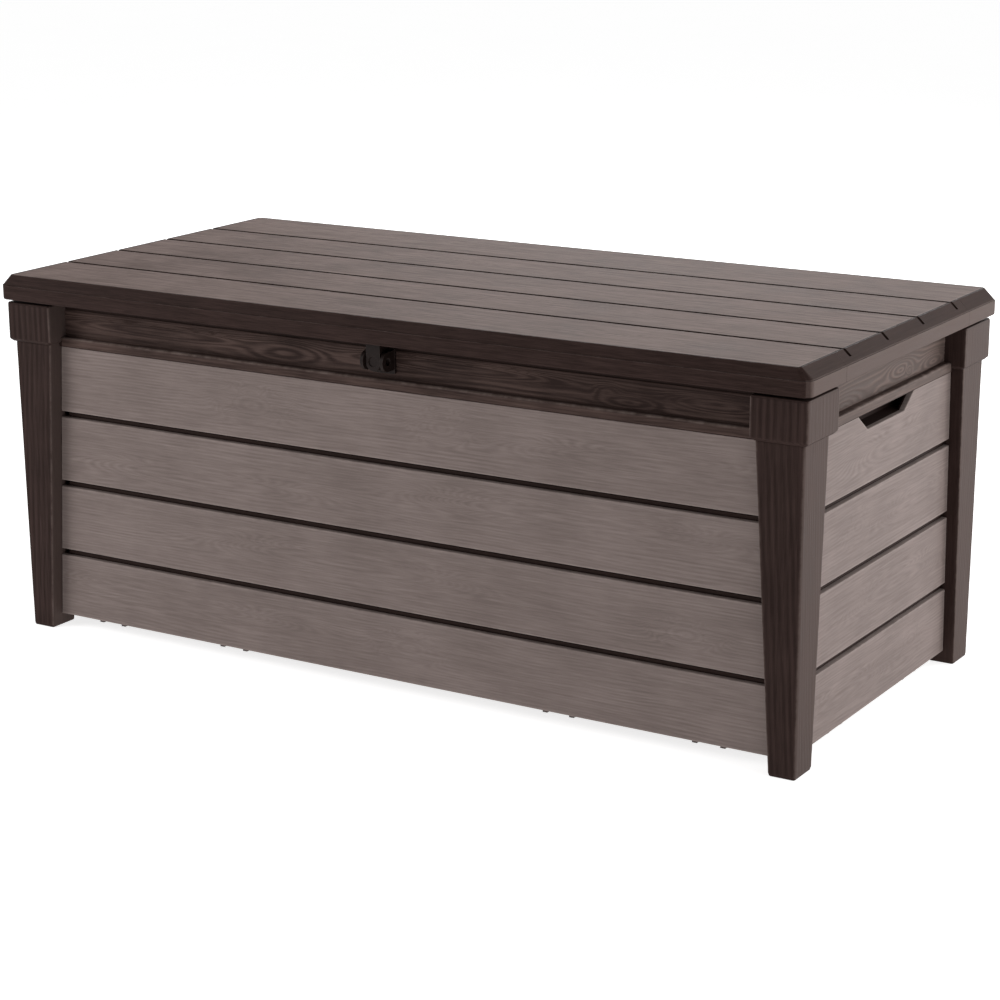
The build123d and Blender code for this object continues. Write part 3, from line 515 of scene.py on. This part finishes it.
leg_look = moulded("brown_leg", "z", *BROWN, roughness=0.6, specular=0.06, bump=0.16, sheet=False,
                   painted_end_sheen=0.3)
inner_look = moulded("brown_inner", "even", rgb(56, 44, 41), rgb(72, 58, 54), rgb(98, 85, 80),
                     roughness=0.55, specular=0.4, bump=0.08, streak=0.2, sheet=False)
lock_look = moulded("lock_black", "even", rgb(24, 17, 15), rgb(35, 26, 24), rgb(84, 72, 68),
                    roughness=0.45, specular=0.1, bump=0.05, streak=0.2, sheet=False)
tube_look = moulded("tube_black", "even", rgb(18, 18, 19), rgb(26, 26, 28), rgb(70, 70, 72),
                    roughness=0.28, specular=0.6, bump=0.02, streak=0.15, sheet=False)
rod_look = metal("rod_chrome", (0.62, 0.63, 0.65, 1), (0.5, 0.51, 0.53, 1), 0.16, "even")
bracket_look = metal("bracket_zinc", (0.42, 0.43, 0.45, 1), (0.3, 0.3, 0.32, 1), 0.38, "z")
screw_look = metal("screw_steel", (0.5, 0.5, 0.5, 1), (0.36, 0.35, 0.34, 1), 0.32, "even")

SLOT_LOOKS = {
    "wall_plank": plank_look["x"],
    "lid_board": board_look,
    "frame_plastic": wall_look_with_shade,
    "inner_plastic": inner_look,
    "lock_plastic": lock_look,
    "strut_tube": tube_look,
    "strut_rod": rod_look,
    "bracket_steel": bracket_look,
    "fastener_steel": screw_look,
}
node_slots = {row["node"]: row["material_slot"] for row in frame["record"]["subparts"]}
for node, piece in frame["nodes"].items():
    look = SLOT_LOOKS[node_slots[node]]
    if node.endswith("_leg"):
        look = leg_look
    if "rim" in node or node == "lid_shell":
        look = rim_look
    piece.data.materials.clear()
    piece.data.materials.append(look)


# ---------------------------------------------------------------- grained pieces

# Figures as (along the grain, up from the plank's lower edge, half length, half width, rings)
PLANK_FIGURES = {
    "front_plank_1": [(105, 62, 46, 24, 3.4), (-250, 56, 60, 26, 3.0), (470, 50, 240, 22, 3.2)],
    "front_plank_2": [(-350, 40, 230, 20, 3.0), (330, 70, 260, 20, 3.0)],
    "front_plank_3": [(-80, 60, 240, 22, 3.2), (520, 45, 50, 20, 3.0)],
    "front_plank_4": [(40, 58, 55, 22, 3.0), (-450, 60, 260, 18, 3.0)],
    "right_plank_1": [(40, 40, 150, 26, 3.4)],
    "right_plank_2": [(-90, 60, 40, 22, 3.0), (140, 50, 150, 20, 3.0)],
    "right_plank_3": [(60, 55, 170, 24, 3.2)],
    "right_plank_4": [(-120, 45, 150, 20, 3.0), (130, 60, 36, 20, 2.6)],
}
seed = 100
for side in ("front", "back", "left", "right"):
    for number in (1, 2, 3, 4):
        node = f"{side}_plank_{number}"
        mirrored = {"back": "front", "left": "right"}.get(side)
        figures = PLANK_FIGURES.get(node)
        if mirrored:
            figures = [(-s * 0.8, t, a, b, c) for s, t, a, b, c in
                       PLANK_FIGURES[f"{mirrored}_plank_{5 - number}"]]
        notched = side in ("left", "right") and number == 1
        make_plank(node, side, seed, 0.42, 5.2, figures, notched, plank_look[GRAIN_AXIS[side]])
        seed += 7
for number in (1, 2, 3, 4, 5):
    figures = [(380 - 190 * number, 20 * (number % 3) - 20 + 65, 260, 18, 3.0)]
    make_plank(f"lid_board_{number}", "top", seed, 0.4, 4.6, figures, False, board_look)
    seed += 7

WALL_FACE = {"front": 296.0, "back": 296.0, "left": 682.5, "right": 682.5}
FRIEZE_FIGURES = {
    "front": [(-190, 20, 95, 20, 2.6), (385, 20, 26, 15, 3.0), (420, 12, 60, 12, 2.0),
              (-430, 26, 200, 11, 1.8), (120, 30, 180, 10, 1.8), (560, 24, 80, 12, 1.6)],
    "right": [(-140, 4, 95, 26, 4.2), (60, 20, 60, 18, 3.0), (95, 14, 14, 9, 2.2),
              (190, 10, 60, 16, 2.6)],
    "back": [(260, 14, 60, 12, 2.8), (-150, 16, 24, 12, 3.0), (-430, 18, 190, 9, 2.0)],
    "left": [(120, 6, 95, 24, 4.0), (-80, 18, 40, 14, 2.8)],
}
for side, half in (("front", 629.6), ("back", 629.6), ("left", 234.6), ("right", 234.6)):
    make_trim(side, WALL_FACE[side], half, seed, FRIEZE_FIGURES[side],
              trim_look[GRAIN_AXIS[side]])
    seed += 7

SHAFT = [(4.0, (666.0, 270.0), (708.5, 326.0)), (490.9, (636.0, 250.0), (711.0, 330.0))]
COLLAR = [(496.2, (630.0, 235.0), (718.5, 337.5)), (554.2, (630.0, 235.0), (718.5, 337.5))]
for end, x_sign in (("left", -1), ("right", 1)):
    for row, y_sign in (("front", -1), ("rear", 1)):
        make_leg_skin(f"{row}_{end}_leg_grain", x_sign, y_sign, SHAFT, 0.5, 0.35, seed,
                      brown_look["z"])
        make_leg_skin(f"{row}_{end}_collar_grain", x_sign, y_sign, COLLAR, 0.6, 0.65, seed + 3,
                      brown_look["z"])
        seed += 7


# ---------------------------------------------------------------- floor, light and camera

FLOOR_GLOW = 0.77
WORLD_STRENGTH = 0.27
SOFTBOXES = [
    ("light_left", (-2.6, -2.4, 1.6), (-0.5, -0.2, 0.3), 1.6, 1.6, 45),
    ("light_rear_right", (3.4, 3.6, 1.3), (0.4, 0, 0.4), 4.0, 2.4, 165),
    ("light_right", (3.8, -0.4, 1.8), (0.6, 0, 0.3), 2.0, 2.0, 32),
    ("light_rear", (-1.5, 4.2, 2.0), (0, 0, 0.5), 3.0, 2.0, 100),
]
floor_mesh = bpy.data.meshes.new("floor")
reach = 40.0  # metres
floor_mesh.from_pydata([(-reach, -reach, 0), (reach, -reach, 0), (reach, reach, 0),
                        (-reach, reach, 0)], [], [(0, 1, 2, 3)])
floor = bpy.data.objects.new("floor", floor_mesh)
bpy.context.scene.collection.objects.link(floor)
n = Nodes("floor_paper")
paper = noise(n, n.add("ShaderNodeTexCoord").outputs["Object"], 3.0, 2.0, 0.5)
n.link(n.mix(paper, (0.78, 0.78, 0.78, 1), (0.82, 0.82, 0.82, 1)), "Base Color")
n.shader.inputs["Emission Color"].default_value = (1, 1, 1, 1)
n.shader.inputs["Emission Strength"].default_value = FLOOR_GLOW
n.shader.inputs["Roughness"].default_value = 0.9
n.shader.inputs["Specular IOR Level"].default_value = 0.1
floor.data.materials.append(n.material)

world = bpy.data.worlds.new("studio")
bpy.context.scene.world = world
world.use_nodes = True
world.node_tree.nodes["Background"].inputs["Color"].default_value = (1, 1, 1, 1)
world.node_tree.nodes["Background"].inputs["Strength"].default_value = WORLD_STRENGTH


def softbox(name, spot, aim, width, height, watts):
    """A rectangular area light, with its places in metres."""
    light = bpy.data.lights.new(name, "AREA")
    light.shape = "RECTANGLE"
    light.size, light.size_y = width, height
    light.energy = watts
    lamp = bpy.data.objects.new(name, light)
    bpy.context.scene.collection.objects.link(lamp)
    lamp.location = spot
    lamp.rotation_euler = (Vector(aim) - Vector(spot)).to_track_quat("-Z", "Y").to_euler()
    return lamp


for light_setting in SOFTBOXES:
    softbox(*light_setting)

CAMERA_SPOT = (2.13435, -3.44914, 1.34436)  # metres
CAMERA_AZIMUTH, CAMERA_DOWN, CAMERA_ROLL = 31.85, 15.73, -0.34
lens = bpy.data.cameras.new("camera")
lens.sensor_width = 36.0
lens.lens = 92.42
lens.shift_x, lens.shift_y = 0.0149, 0.0223
lens.clip_end = 200.0
camera = bpy.data.objects.new("camera", lens)
bpy.context.scene.collection.objects.link(camera)
turn = Matrix.Rotation(math.radians(CAMERA_AZIMUTH), 4, "Z")
tilt = Matrix.Rotation(math.radians(90 - CAMERA_DOWN), 4, "X")
roll = Matrix.Rotation(math.radians(CAMERA_ROLL), 4, "Z")
camera.matrix_world = Matrix.Translation(CAMERA_SPOT) @ turn @ tilt @ roll
bpy.context.scene.camera = camera
bpy.context.scene.view_settings.view_transform = "Standard"

bpy.context.view_layer.update()
